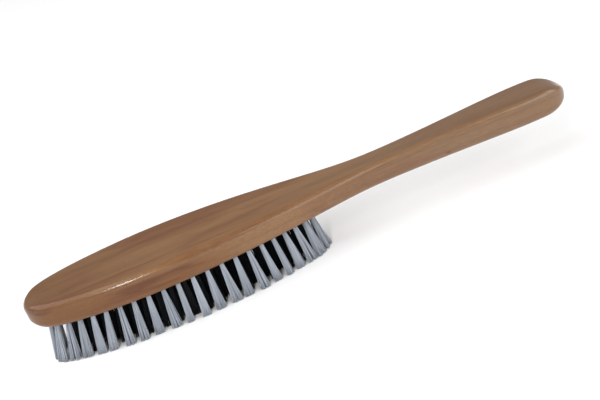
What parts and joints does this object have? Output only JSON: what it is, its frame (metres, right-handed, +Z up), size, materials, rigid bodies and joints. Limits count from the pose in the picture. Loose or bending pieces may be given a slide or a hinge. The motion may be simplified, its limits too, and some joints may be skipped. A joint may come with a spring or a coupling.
{
  "type": "clothes brush",
  "caption": "Clothes brush with a one-piece oval wood head and flat paddle handle, and a field of black bristle tufts inside a rim of white ones, fanned out at toe and heel.",
  "frame": {"origin": "middle of the bounding box, in the plane of the trimmed bristle tips", "axes": "+X from the toe of the head to the end of the handle, +Z up from the bristle tips to the back of the wood"},
  "size_m": [0.362, 0.0542, 0.0472],
  "materials": {
    "stock_wood": "clear lacquer, semi-gloss",
    "white_bristle": "translucent nylon, satin",
    "black_bristle": "nylon, satin",
    "staple_wire": "drawn flat wire"
  },
  "bodies": {
    "root": {"centre_staples": "staple_wire", "centre_tufts": "black_bristle", "inner_left_staples": "staple_wire", "inner_left_tufts": "black_bristle", "inner_right_staples": "staple_wire", "inner_right_tufts": "black_bristle", "middle_left_staples": "staple_wire", "middle_left_tufts": "black_bristle", "middle_right_staples": "staple_wire", "middle_right_tufts": "black_bristle", "outer_left_staples": "staple_wire", "outer_left_tufts": "black_bristle", "outer_right_staples": "staple_wire", "outer_right_tufts": "black_bristle", "rim_heel_staples": "staple_wire", "rim_heel_tufts": "white_bristle", "rim_left_staples": "staple_wire", "rim_left_tufts": "white_bristle", "rim_right_staples": "staple_wire", "rim_right_tufts": "white_bristle", "rim_toe_staples": "staple_wire", "rim_toe_tufts": "white_bristle", "stock": "stock_wood"}
  },
  "joints": []
}
